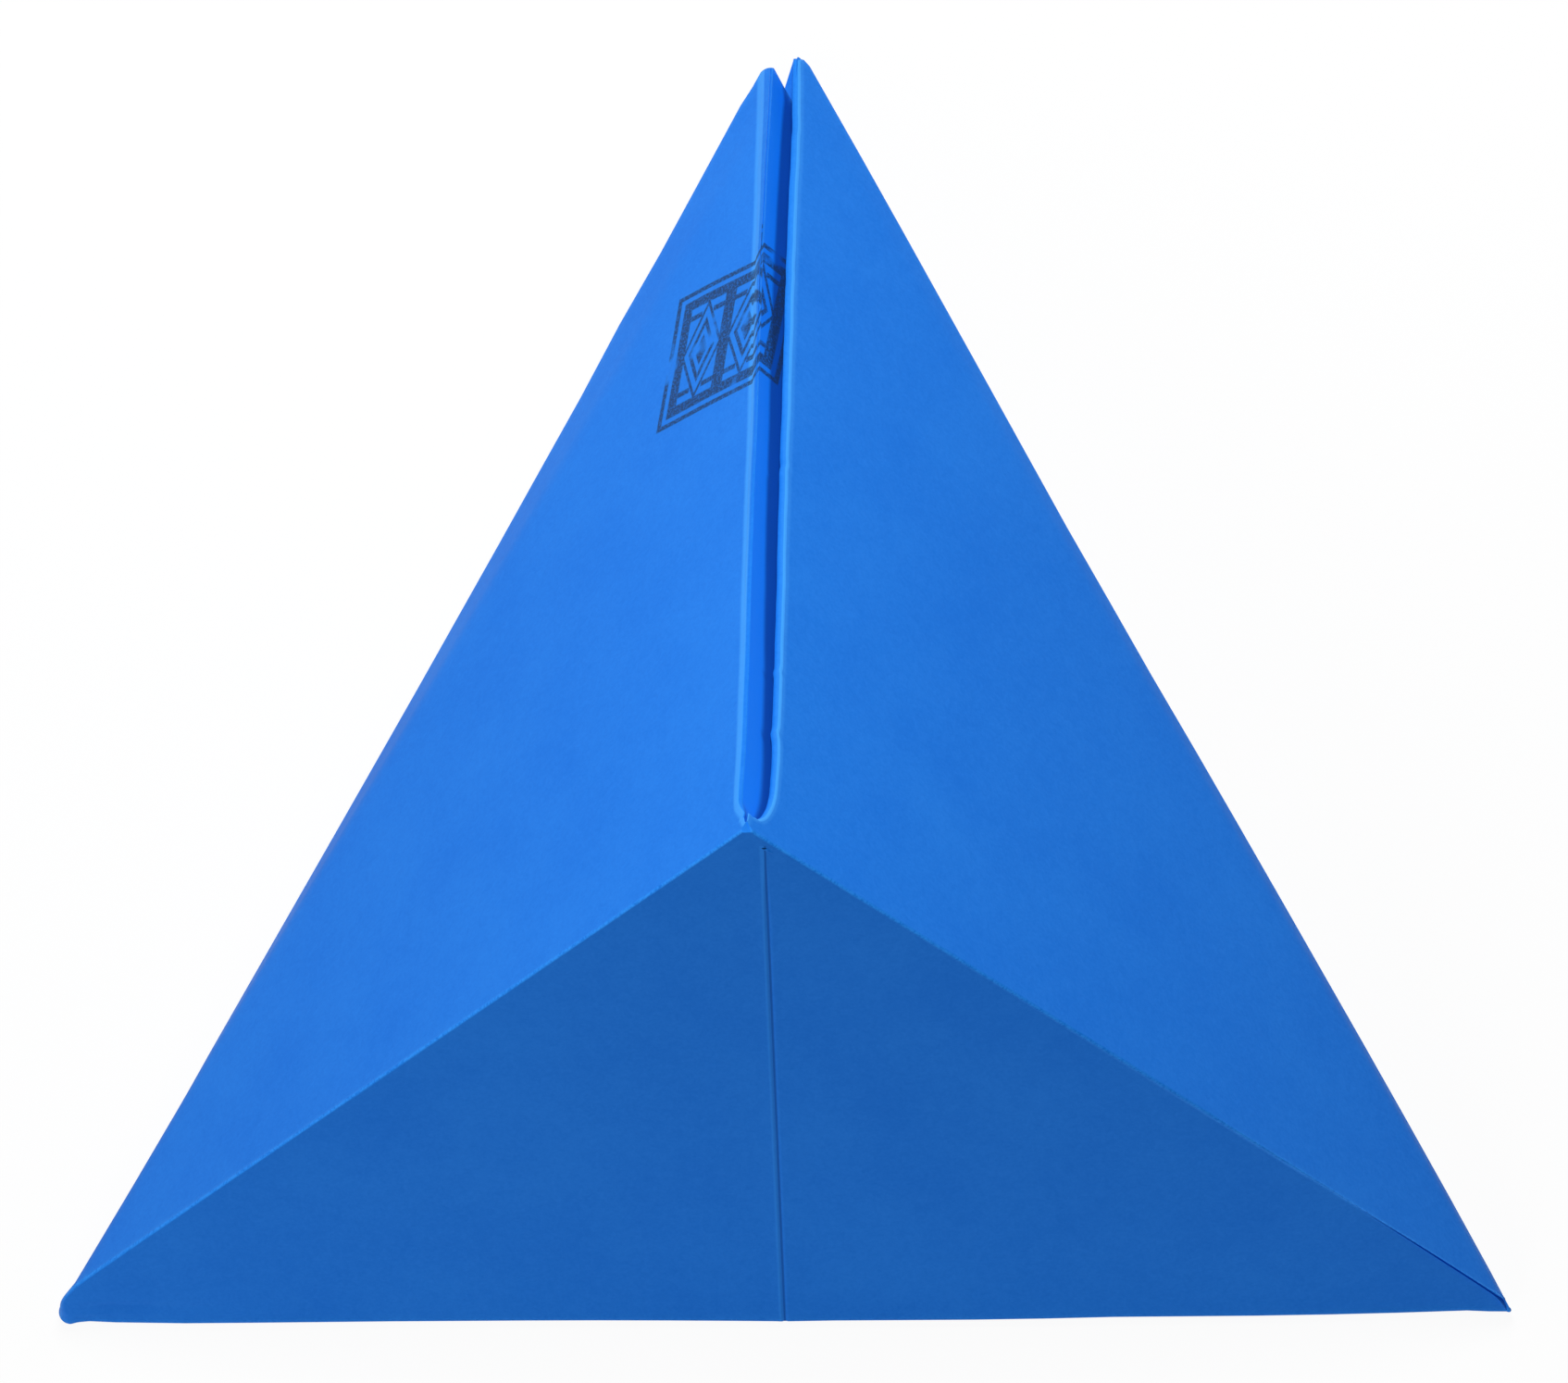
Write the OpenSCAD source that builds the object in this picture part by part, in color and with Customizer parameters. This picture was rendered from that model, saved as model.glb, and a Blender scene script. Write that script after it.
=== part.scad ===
// Three-sided pyramid box, folded from one square of card.
// The centre of the square is the apex. Three of its quarters are the three walls.
// The fourth quarter is folded in half and tucked behind the right wall as a pleat,
// which leaves a slit beside the left wall. The four corners of the square turn
// under at the base lines and close the bottom as overlapping flaps.
// +Y points to the two upper tips, X runs along the lower base line, Z is up, and
// the origin lies on the floor below the apex.

/* [Card] */
// Side of the square sheet before it is folded
sheet_side = 210; // [120:1:300]
// Thickness of the card
card_t = 0.3; // [0.2:0.05:0.5]
// Air left between two layers that lie on each other
layer_gap = 0.1; // [0.06:0.02:0.2]

/* [Ridges] */
// Inside radius of the ridges from the apex to the two lower corners
ridge_in_r = 0.15; // [0.1:0.05:0.6]
// Inside radius of the ridge along the left of the slit
slit_ridge_in_r = 0.25; // [0.1:0.05:0.8]
// Inside radius to which the lower left corner swells at the base
left_corner_in_r = 0.9; // [0.3:0.1:2]
// Inside radius to which the lower right corner swells at the base
right_corner_in_r = 0.5; // [0.3:0.1:2]
// Height above the base over which the lower corners swell
corner_h = 4; // [2:0.5:8]
// Distance by which the fold to the lower left corner stands out along the lower wall
left_ear = 4.2; // [0:0.2:6]
// Distance by which the fold to the lower right corner stands out along the lower wall
right_ear = 1.6; // [0:0.2:6]
// Rounding where those folds turn down to their corners
ear_turn = 0.5; // [0.2:0.1:2]
// Inside radius of the folds along the base lines
base_fold_in_r = 0.15; // [0.1:0.05:0.4]

/* [Slit and pleat] */
// Distance by which the left upper tip stops short of the meeting of the base lines
tip_gap = 3.4; // [2.6:0.1:8]
// Setback of the right edge of the slit from the ideal ridge, at the apex end
slit_apex_setback = 5.3; // [3:0.1:6]
// Setback of the right edge of the slit from the ideal ridge, at the base
slit_base_setback = 1.6; // [0.8:0.1:3]
// Length of the round end of the slit, measured down the ridge
slit_round_len = 15; // [8:1:25]
// Inside radius of the folded right edge of the slit
edge_in_r = 0.06; // [0.06:0.02:0.3]
// Half of the free depth inside the pleat, at the apex end
pleat_in_r = 0.1; // [0.06:0.02:0.3]
// Distance by which the upper right tip is blunted at the base
tip_blunt = 1.2; // [0.2:0.1:2.5]

/* [Seam crease] */
// Depth of the old crease down the middle of the lower wall
crease_depth = 0.12; // [0.02:0.02:0.2]
// Width of that crease
crease_w = 0.8; // [0.4:0.1:2]
// Sideways lean of that crease towards the right at the apex
crease_lean = 1.7; // [0:0.1:3]

/* [Fineness] */
// Steps in each fold between two walls
fold_steps = 8; // [4:1:16]
// Steps in each fold along a base line
base_steps = 6; // [4:1:12]
// Steps across the left wall, which curves near its base
left_steps = 8; // [2:1:16]

/* [Hidden] */

// Slant edge of the walls, base line of each wall, and half apex angle of the base
slant = sheet_side / 2;
base_line = slant * sqrt(2);
base_side = base_line + tip_gap;
half_tip = asin(base_line / 2 / base_side);
in_r = base_line / 2 * tan((90 - half_tip) / 2);
apex_h = sqrt(pow(slant, 2) - pow(base_line / 2, 2) - pow(in_r, 2));
incline = atan(apex_h / in_r);

// Ideal corners of the base line: upper tip, lower left and lower right
upper_corner = [0, sqrt(pow(base_side, 2) - pow(base_line / 2, 2)) - in_r];
left_corner = [-base_line / 2, -in_r];
right_corner = [base_line / 2, -in_r];

// Card and gap as a level cut through a wall shows them
cut_t = card_t / sin(incline);
cut_gap = layer_gap / sin(incline);
level_step = card_t + layer_gap;

// Share of the slant at which the outside and the inside of the card begin
top_share = 0.012;
roof_share = 0.036 + cut_t / in_r / 2;
slit_top_share = 0.018;
slit_round_share = slit_round_len / slant;
corner_share = 1 - corner_h / apex_h;
corner_run = base_line / 2 - in_r * tan(half_tip);
least_ear = 0.15;

// Outside radius of the slit's edge and depth of the pleat in a level cut
edge_r = cut_t + edge_in_r;
pleat_depth_top = 2 * (cut_t + pleat_in_r);
pleat_depth_base = tip_gap * sin(2 * half_tip) - cut_gap;

// Rows of the sheet from the apex down to the base fold, through it, and the flap's end
upper_rows = 14;
corner_rows = 5;
wall_rows = upper_rows + corner_rows;
fold_end_row = wall_rows + base_steps;
last_row = fold_end_row + 1;
fold_mid_r = base_fold_in_r + card_t / 2;
flap_tip_w = 0.6;

// Columns: five folds between walls, lines that let the left wall curve near its base,
// and three lines for the seam crease
SLIT_RIDGE = 0;
LEFT_RIDGE = 1;
RIGHT_RIDGE = 2;
SLIT_EDGE = 3;
VALLEY = 4;
SEAM = 5;
LEFT_LINE = 6;
LEFT_WALL = 0;
LOWER_WALL = 1;
RIGHT_WALL = 2;
PLEAT_FRONT = 3;
PLEAT_BACK = 4;
columns = concat(
    [for (i = [0:fold_steps]) [SLIT_RIDGE, i]],
    [for (i = [1:left_steps - 1]) [LEFT_LINE, i]],
    [for (i = [0:fold_steps]) [LEFT_RIDGE, i]],
    [for (i = [-1:1]) [SEAM, i]],
    [for (corner = [RIGHT_RIDGE, SLIT_EDGE, VALLEY]) for (i = [0:fold_steps]) [corner, i]]
);
column_count = len(columns);

function dir(a) = [cos(a), sin(a)];
function mix(a, b, f) = a + (b - a) * f;
function clamp01(x) = max(0, min(1, x));
function ease(x) = pow(clamp01(x), 2) * (3 - 2 * clamp01(x));

// Point where two lines meet, each given by the way it faces and its distance
function meet(a1, d1, a2, d2) = [
    (d1 * sin(a2) - d2 * sin(a1)) / sin(a2 - a1),
    (d2 * cos(a1) - d1 * cos(a2)) / sin(a2 - a1)
];

// Reach of a lower corner's fold past the ideal corner, which stays inside the side wall's base line
function ear(reach, wall, share) =
    let (
        grow = reach * share,
        room = least_ear + corner_run * (1 - fold_z(wall) / apex_h - share)
    )
    (grow + room - norm([grow - room, ear_turn])) / 2;

// Both ends of a wall's line in a level cut, as if the folds were sharp
function wall_ends(wall, share) =
    let (
        upper = upper_corner * share,
        left = left_corner * share - [ear(left_ear, LEFT_WALL, share), 0],
        right = right_corner * share + [ear(right_ear, RIGHT_WALL, share), 0]
    )
    wall == LEFT_WALL ? [upper, left] : wall == LOWER_WALL ? [left, right] : [right, upper];

// The way a wall faces, and its distance from the axis, in a level cut
function wall_line(wall, share) =
    let (ends = wall_ends(wall, share), run = ends[1] - ends[0], along = run / norm(run))
    [atan2(-along[0], along[1]), ends[0][0] * along[1] - ends[0][1] * along[0]];

// Share of the pleat's depth that is left above the roof of the hollow
function fade(share) =
    let (x = clamp01((share - top_share) / (roof_share - top_share)))
    max(0.08, sqrt(1 - pow(1 - x, 2)));

function round_end(share) =
    sqrt(1 - pow(1 - clamp01((share - slit_top_share) / slit_round_share), 2));
function tip_round(share) = 1 - sqrt(1 - pow(clamp01((share - corner_share) / (1 - corner_share)), 2));
function setback(share) =
    mix(slit_apex_setback, slit_base_setback, share) * round_end(share) + tip_blunt * tip_round(share);

// Depth of each face of the card behind the pyramid's outer planes; side 1 is outside
function depth(wall, side, share, corner) =
    let (
        skin = side > 0 ? 0 : cut_t,
        deep = mix(pleat_depth_top, pleat_depth_base, share),
        front = corner == SLIT_EDGE ? 2 * edge_r : deep
    )
    fade(share) * (wall == PLEAT_FRONT ? front - skin : wall == PLEAT_BACK ? deep + cut_gap + skin : 0)
        + (wall <= RIGHT_WALL ? skin : 0);

// Height of each wall's base fold and the radius of one face of the card in it
function fold_z(wall) = wall * level_step + card_t / 2 + fold_mid_r;
function fold_r(wall, side) = fold_mid_r + (wall == PLEAT_FRONT ? -side : side) * card_t / 2;

// Share of the slant reached by a row, for a face that starts at a given share
function row_share(row, first) = row <= upper_rows
    ? mix(first, corner_share, pow(row / upper_rows, 2.4))
    : mix(corner_share, 1, (row - upper_rows) / corner_rows);

function fold_share(row) = clamp01((row - wall_rows) / base_steps);

// A wall's face in a row: its distance from the axis before and in the fold, the way
// it faces, its height and its share of the slant
function wall_cut(wall, side, row, corner) =
    let (
        first = side > 0 ? top_share : roof_share,
        r = fold_r(wall, side),
        z_top = apex_h * (1 - first),
        z_end = fold_z(wall) + r * cos(incline),
        f = (row_share(min(row, wall_rows), first) - first) / (1 - first),
        z = mix(z_top, z_end, f),
        share = 1 - z / apex_h,
        line = wall_line(wall, share),
        d = line[1] - depth(wall, side, share, corner),
        turn = mix(90 - incline, -90, fold_share(row))
    )
    row <= wall_rows ? [d, d, line[0], z, share]
        : [d, d + r * (cos(turn) - sin(incline)), line[0], fold_z(wall) + r * sin(turn), share];

// Outside radius of a ridge, which swells at the base and shrinks near the apex
function ridge_r(corner, share) =
    let (
        in_radius = corner == SLIT_RIDGE ? slit_ridge_in_r
            : mix(ridge_in_r, corner == LEFT_RIDGE ? left_corner_in_r : right_corner_in_r,
                ease((share - corner_share) / (1 - corner_share)))
    )
    min(in_radius + cut_t, 0.6 * in_r * share);

// The angle b, taken as a left turn from a
function turn_after(a, b) = b + 360 * ceil((a - b) / 360);

// A point in a ridge between two walls
function ridge_point(corner, i, side, row) =
    let (
        a = wall_cut((corner + 4) % 5, side, row, corner),
        b = wall_cut(corner, side, row, corner),
        skin = side > 0 ? 0 : cut_t,
        r = max(layer_gap / 2, ridge_r(corner, (a[4] + b[4]) / 2) - skin + a[1] - a[0]),
        centre = meet(a[2], a[1] - r, b[2], b[1] - r),
        p = centre + r * dir(mix(a[2], turn_after(a[2], b[2]), i / fold_steps))
    )
    [p[0], p[1], mix(a[3], b[3], i / fold_steps)];

// A point in the slit's edge or in the valley, by how far it lies along the right wall
function roll_point(corner, i, side, row) =
    let (
        a = wall_cut(corner - 1, side, row, corner),
        b = wall_cut(corner, side, row, corner),
        share = (a[4] + b[4]) / 2,
        turn = 180 * i / fold_steps,
        away = dir(a[2] - 90),
        edge = setback(share),
        edge_centre = edge + edge_r * fade(share),
        valley_reach = cut_gap / 2 + cut_t,
        valley_centre = max(edge_centre + edge_r, edge + share * base_line / 2 - valley_reach),
        bulge = corner == SLIT_EDGE ? (b[1] - a[1]) / 2 : cut_gap / 2 + (side > 0 ? 0 : cut_t),
        along = (corner == SLIT_EDGE ? edge_centre : valley_centre) + bulge * sin(turn),
        across = mix(a[1], b[1], (1 - cos(turn)) / 2),
        p = across * dir(a[2]) + (share * upper_corner * away + along) * away
    )
    [p[0], p[1], mix(a[3], b[3], corner == VALLEY ? (1 - cos(turn)) / 2 : i / fold_steps)];

// A point of the seam crease on the lower wall
function seam_point(i, side, row) =
    let (
        wall = wall_cut(LOWER_WALL, side, row, SEAM),
        share = wall[4],
        half_w = min(crease_w / 2, in_r * share * 0.3),
        lean = min(crease_lean * (1 - share), in_r * share * 0.5),
        dent = i == 0 ? min(crease_depth, in_r * share * 0.1) * (1 - fold_share(row)) : 0
    )
    [lean + i * half_w, dent * sin(incline) - wall[1], wall[3] - dent * cos(incline)];

function left_line_point(i, side, row) =
    mix(
        ridge_point(SLIT_RIDGE, fold_steps, side, row),
        ridge_point(LEFT_RIDGE, 0, side, row),
        i / left_steps
    );

function sheet_point(column, side, row) =
    column[0] == SEAM ? seam_point(column[1], side, row)
        : column[0] == LEFT_LINE ? left_line_point(column[1], side, row)
        : column[0] <= RIGHT_RIDGE ? ridge_point(column[0], column[1], side, row)
        : roll_point(column[0], column[1], side, row);

// First and last column of the flaps: left, lower, right, and the pleat's double one
left_last = fold_steps + left_steps;
seam_first = left_last + fold_steps + 1;
right_first = seam_first + 3;
flap_from = [fold_steps, seam_first - 1, right_first + fold_steps,
    right_first + 2 * fold_steps + 1];
flap_to = [left_last, right_first, right_first + fold_steps + 1, column_count];
valley_first = right_first + 2 * (fold_steps + 1);
PLEAT_FLAP = 3;

function base_point(column, side) = sheet_point(columns[column % column_count], side, fold_end_row);
function flap_w(flap) =
    norm(base_point(flap_from[flap], 1) - base_point(flap == PLEAT_FLAP ? valley_first : flap_to[flap], 1));

// How far a flap reaches in from its base line before its raw edges meet
function flap_reach(flap) = (flap_w(flap) - flap_tip_w) / (flap == PLEAT_FLAP ? 1 : 2);

// Sideways move of a column on the way to the end of its flap, for one of reach
function flap_slide(flap, column) =
    flap == PLEAT_FLAP ? (column == flap_from[flap] || column == flap_to[flap] ? -1 : 0)
        : 1 - 2 * (column - flap_from[flap]) / (flap_to[flap] - flap_from[flap]);

// The end of the lower flap where the crease would meet it
function seam_end(column, side) =
    (flap_point(seam_first - 1, side) + flap_point(right_first, side)) / 2
        + [columns[column][1] * flap_tip_w / 4, 0, 0];

// The end of a flap, seen along the base line that the flap turns round
function flap_point(column, side) =
    let (
        hits = [for (f = [0:PLEAT_FLAP]) for (c = [flap_from[f]:flap_to[f]])
            if (c % column_count == column) [f, c]],
        p = base_point(column, side)
    )
    len(hits) == 0 ? p
        : columns[column][0] == SEAM ? seam_end(column, side)
        : let (
            flap = hits[0][0],
            face = wall_line(flap, 1)[0],
            move = flap_reach(flap) * (flap_slide(flap, hits[0][1]) * dir(face + 90) - dir(face))
        )
        [p[0] + move[0], p[1] + move[1], p[2]];

function all_points(side) = [
    for (row = [0:last_row]) for (c = [0:column_count - 1])
        row < last_row ? sheet_point(columns[c], side, row) : flap_point(c, side)
];

side_size = (last_row + 1) * column_count;
function at(inner, row, c) = inner * side_size + row * column_count + c % column_count;
function quad(a, b, c, d) = [[a, b, c], [a, c, d]];

wall_faces = [
    for (row = [0:fold_end_row - 1]) for (c = [0:column_count - 1])
        for (face = concat(
            quad(at(0, row, c), at(0, row, c + 1), at(0, row + 1, c + 1), at(0, row + 1, c)),
            quad(at(1, row, c), at(1, row + 1, c), at(1, row + 1, c + 1), at(1, row, c + 1))
        )) face
];
flap_faces = [
    for (f = [0:PLEAT_FLAP]) for (c = [flap_from[f]:flap_to[f] - 1])
        let (row = fold_end_row, end = last_row)
        for (face = concat(
            quad(at(0, row, c), at(0, row, c + 1), at(0, end, c + 1), at(0, end, c)),
            quad(at(1, row, c), at(1, end, c), at(1, end, c + 1), at(1, row, c + 1)),
            quad(at(0, end, c), at(0, end, c + 1), at(1, end, c + 1), at(1, end, c))
        )) face
];
side_rims = [
    for (f = [0:PLEAT_FLAP])
        let (row = fold_end_row, end = last_row, a = flap_from[f], b = flap_to[f])
        for (face = concat(
            quad(at(0, row, a), at(0, end, a), at(1, end, a), at(1, row, a)),
            quad(at(0, end, b), at(0, row, b), at(1, row, b), at(1, end, b))
        )) face
];
corner_rims = [
    for (c = [0:column_count - 1])
        let (
            row = fold_end_row,
            covered = [for (f = [0:PLEAT_FLAP]) if (c >= flap_from[f] && c < flap_to[f]) f]
        )
        if (len(covered) == 0)
            for (face = quad(at(0, row, c), at(0, row, c + 1), at(1, row, c + 1), at(1, row, c))) face
];
caps = [
    [for (c = [column_count - 1:-1:0]) at(0, 0, c)],
    [for (c = [0:column_count - 1]) at(1, 0, c)]
];

// The whole folded sheet as one closed skin around the thickness of the card
module folded_card() {
    color("royalblue")
        polyhedron(
            points = concat(all_points(1), all_points(-1)),
            faces = concat(wall_faces, flap_faces, side_rims, corner_rims, caps),
            convexity = 12
        );
}

folded_card();
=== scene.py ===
import math
from functools import lru_cache

import bpy
import numpy as np
from mathutils import Matrix, Vector, noise


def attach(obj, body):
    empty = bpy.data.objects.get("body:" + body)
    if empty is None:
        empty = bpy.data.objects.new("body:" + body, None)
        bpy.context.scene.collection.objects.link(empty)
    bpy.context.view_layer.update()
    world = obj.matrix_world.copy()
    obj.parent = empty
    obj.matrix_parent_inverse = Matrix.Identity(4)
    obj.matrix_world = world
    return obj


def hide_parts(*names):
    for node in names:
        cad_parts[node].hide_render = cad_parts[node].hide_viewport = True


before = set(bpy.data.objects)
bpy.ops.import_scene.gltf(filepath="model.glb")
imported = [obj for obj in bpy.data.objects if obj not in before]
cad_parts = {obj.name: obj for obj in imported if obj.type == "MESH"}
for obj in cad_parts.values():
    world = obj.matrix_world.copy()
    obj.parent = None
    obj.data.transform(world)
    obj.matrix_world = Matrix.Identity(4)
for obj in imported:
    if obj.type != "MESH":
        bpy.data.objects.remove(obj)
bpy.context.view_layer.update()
print("frame loaded")

mm = 0.001

# Lengths of the sheet in mm. The fold geometry follows the part's source.
card = {
    "sheetSide": 210.0,
    "thickness": 0.3,
    "layerGap": 0.1,
    "tipGap": 3.4,
    "ridgeR": 0.22,            # outside radii of the folds
    "slitRidgeR": 0.36,
    "baseFoldInR": 0.15,
    "nubR": (1.2, 0.8),        # lower left and lower right corner, at the base
    "earReach": (4.16, 1.62),  # how far those folds stand out along the lower wall
    "earRound": 0.5,           # how softly they turn down to the base line
    "earEnd": 0.15,            # what is left of them at the base fold
    "slitApexSetback": 4.35,
    "slitBaseSetback": 0.6,
    "slitStart": 0.0215,       # share of the slant at which the slit begins below the apex
    # how far it opens to the left and right: root of the share past its start, and part of the full reach
    "leftRound": ((0, 0.12), (0.069, 0.27), (0.131, 0.71), (0.175, 1.0)),
    "rightRound": (
        (0, 0), (0.079, 0.226), (0.1025, 0.348), (0.1225, 0.426),
        (0.161, 0.58), (0.225, 0.809), (0.2655, 0.917), (0.33, 1.0),
    ),
    # little burrs of the slit's right edge: share of the slant, setback in mm, and width as a share
    "burrs": (
        (0.478, 0.16, 0.004), (0.235, -0.2, 0.0035), (0.163, -0.26, 0.005),
        (0.885, 0.15, 0.006), (0.7, 0.1, 0.008),
    ),
    "edgeWaves": ((0.045, 23, 0.7), (0.03, 61, 0), (0.02, 127, 2)),  # mm, turn for one share, start
    "pleatWaves": ((0.03, 19, 1.0), (0.015, 47, 0)),                 # parts of the pleat's depth
    "edgeInR": 0.04,
    "closedEdgeR": 0.06,       # what the edge's radius shrinks to above the slit
    "edgeShift": 1.0,          # the roll of the edge stands out towards the slit
    "pleatInR": 0.1,           # half the free depth of the pleat at the apex end
    "tipBlunt": 0.5,
    "tipReach": 0.5,           # how far the slit's edge comes back towards the upper tip
    "tipFrom": (0.89, 0.09),   # share at which it begins to, and over which it does
    "tipTop": 83.8,            # y past which the upper tips are squashed, and how softly
    "tipSquash": 0.8,
    "flare": 0.65,             # spread of the lower left corner
    "flareFrom": (-38.9, 2.2, -67.5, 5),  # y and x at which it begins, each with its run
    "wearWidth": 0.16,         # half the width of the whitened line along a ridge
    "wearLevels": (1.0, 0.9),  # along the left and the right ridge
    "paleBaseFold": (0.85, 0.4, 3.5),  # level of the paler line along the base folds, place in the fold, and width in rows
    "seamTop": 0.034,          # share of the slant at which the old crease begins
    "far": 99.0,               # stands for a line that is on another wall
    "creaseDeeper": (0.35, 0.06, 0.04),  # extra width of the slit to the left: mm, share and its run
    "bendReach": 0.62,         # least reach of the pleat's bend, as a part of the pleat's depth
    "cornerHeight": 4.0,
    "creaseDepth": 0.1,        # the old crease down the middle of the lower wall
    "creaseWidth": 0.34,
    "creaseLip": 0.04,
    "creaseApexX": 1.7,
    "creaseBaseX": -0.4,
    "creaseSteps": (-4, -2.4, -1.7, -1.2, -0.9, -0.6, -0.3, 0, 0.3, 0.6, 0.9, 1.4, 4),
    "stripSteps": (0.0, 0.2, 0.4, 0.6, 0.8, 0.95),
    "topShare": 0.009,
    "upperRows": 150,
    "cornerRows": 18,
    "foldRows": 8,
    "flapRows": 8,
    "foldSteps": 12,
    "wallSteps": 16,
    "pleatSteps": 8,
    "flapTipWidth": 0.6,
    "unevenness": (0.16, 0.02),  # size in mm, and turns for one mm
    # dents at the foot of the left wall: mm, place along the base line and width as parts of it
    "dents": ((0.28, 0.236, 0.006), (0.12, 0.245, 0.02), (0.16, 0.062, 0.005)),
    "dentRows": 14,
}

# Small bows of the base lines: place along the line from its first corner, and mm outwards
bows = {
    "left": (
        (0.0, 0.3), (0.05, 0.24), (0.12, 0.23), (0.15, 0.18), (0.184, 0.06), (0.22, -0.12), (0.3, -0.06),
        (0.4, -0.16), (0.52, -0.19), (0.62, -0.13), (0.7, -0.06), (0.8, 0.03), (0.9, -0.03), (0.943, -0.02),
        (0.955, 0.0), (1.0, 0.05),
    ),
    "lower": (
        (0.0, 0.2), (0.012, 0.15), (0.018, -0.2), (0.029, -0.08), (0.051, 0.08), (0.09, 0.13), (0.155, 0.09),
        (0.22, 0.02), (0.35, -0.01), (0.44, 0.08), (0.4987, 0.2), (0.53, 0.14), (0.62, 0.13), (0.68, 0.03),
        (0.72, -0.1), (0.84, -0.18), (0.9, -0.36), (0.946, -0.52), (0.968, -0.66), (0.978, -0.5), (1.0, -0.5),
    ),
    "right": (
        (0.0, -0.5), (0.03, -0.34), (0.05, -0.24), (0.1, -0.15), (0.18, -0.04), (0.35, -0.03), (0.43, -0.08),
        (0.5, -0.2), (0.56, -0.18), (0.6, -0.22), (0.645, -0.13), (0.73, 0.06), (0.815, 0.22),
        (0.88, 0.34), (1.0, 0.37),
    ),
    "pleat": ((0.0, -0.2), (0.5, -0.2), (0.88, 0.34), (0.96, 0.5), (1.0, 0.68)),
}

slitRidge, leftRidge, rightRidge, slitEdge, valley = range(5)
leftWall, lowerWall, rightWall, pleatFront, pleatBack = range(5)

thickness = card["thickness"]
slant = card["sheetSide"] / 2
baseLine = slant * math.sqrt(2)
baseSide = baseLine + card["tipGap"]
halfTip = math.asin(baseLine / 2 / baseSide)
inR = baseLine / 2 * math.tan((math.pi / 2 - halfTip) / 2)
apexH = math.sqrt(slant ** 2 - (baseLine / 2) ** 2 - inR ** 2)
incline = math.atan2(apexH, inR)
cutT = thickness / math.sin(incline)
cutGap = card["layerGap"] / math.sin(incline)
edgeR = cutT + card["edgeInR"]
pleatTop = 2 * (cutT + card["pleatInR"])
pleatBase = card["tipGap"] * math.sin(2 * halfTip) - cutGap
foldMidR = card["baseFoldInR"] + thickness / 2
levelStep = thickness + card["layerGap"]
roofShare = 0.035 + cutT / inR / 2
cornerShare = 1 - card["cornerHeight"] / apexH
wallRows = card["upperRows"] + card["cornerRows"]
foldEndRow = wallRows + card["foldRows"]
lastRow = foldEndRow + card["flapRows"]
cornerP = np.array([-baseLine / 2, -inR])
cornerQ = np.array([baseLine / 2, -inR])
cornerS = np.array([0.0, math.sqrt(baseSide ** 2 - baseLine ** 2 / 4) - inR])
# run of the base line past the ideal ridge, for one share of the slant
earDrop = baseLine / 2 - inR * math.tan(halfTip)


def mix(a, b, f):
    return a + (b - a) * f


def clamp01(x):
    return max(0.0, min(1.0, x))


def ease(x):
    x = clamp01(x)
    return x * x * (3 - 2 * x)


def bump(x, centre, width):
    return math.exp(-((x - centre) / width) ** 2)


def direction(a):
    return np.array([math.cos(a), math.sin(a)])


def foldZ(wall):
    return wall * levelStep + thickness / 2 + foldMidR


def foldR(wall, side):
    return foldMidR + (-side if wall == pleatFront else side) * thickness / 2


def foldStart(wall):
    # share of the slant at which a wall's outside enters its base fold
    return 1 - (foldZ(wall) + foldR(wall, 1) * math.cos(incline)) / apexH


def earReach(which, share):
    # the fold of a lower corner leaves the ideal ridge towards the base, then follows the base line
    grow = card["earReach"][which] * share
    drop = card["earEnd"] + earDrop * (foldStart(which * rightWall) - share)
    return (grow + drop - math.hypot(grow - drop, card["earRound"])) / 2


def wallEnds(wall, share):
    p = cornerP * share - np.array([earReach(0, share), 0])
    q = cornerQ * share + np.array([earReach(1, share), 0])
    s = cornerS * share
    return {leftWall: (s, p), lowerWall: (p, q), rightWall: (q, s)}[min(wall, rightWall)]


def wallLine(wall, share):
    # the way a wall faces at a level cut, and how far it is from the axis
    a, b = wallEnds(wall, share)
    along = (b - a) / np.linalg.norm(b - a)
    return math.atan2(-along[0], along[1]), a[0] * along[1] - a[1] * along[0]


def meet(a1, d1, a2, d2):
    # where two lines meet, each given by the way it faces and its distance
    s = math.sin(a2 - a1)
    x = (d1 * math.sin(a2) - d2 * math.sin(a1)) / s
    return np.array([x, (d2 * math.cos(a1) - d1 * math.cos(a2)) / s])


def waves(name, share):
    return sum(h * math.sin(turn * share + start) for h, turn, start in card[name])


def fade(share):
    # part of the pleat's depth that is left above the roof of the hollow
    x = clamp01((share - card["topShare"]) / (roofShare - card["topShare"]))
    return max(0.08, math.sqrt(1 - (1 - x) ** 2))


def pleatDepth(share):
    return mix(pleatTop, pleatBase, share) * (1 + waves("pleatWaves", share) * ease(share * 6))


def opening(side, share):
    # part of the slit's full reach to one side
    xs, ys = zip(*card[side])
    return float(np.interp(math.sqrt(max(0.0, share - card["slitStart"])), xs, ys))


def slitEdgeR(share):
    return mix(card["closedEdgeR"], edgeR, clamp01(1.6 * (opening("leftRound", share) - 0.12)))


def tipRound(share):
    return 1 - math.sqrt(1 - clamp01((share - cornerShare) / (1 - cornerShare)) ** 2)


def slitWobble(share):
    # the uneven line of the slit's right edge, as setback in mm
    burrs = sum(h * bump(share, c, w) for c, h, w in card["burrs"])
    return waves("edgeWaves", share) * ease(share * 8) + burrs


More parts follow.
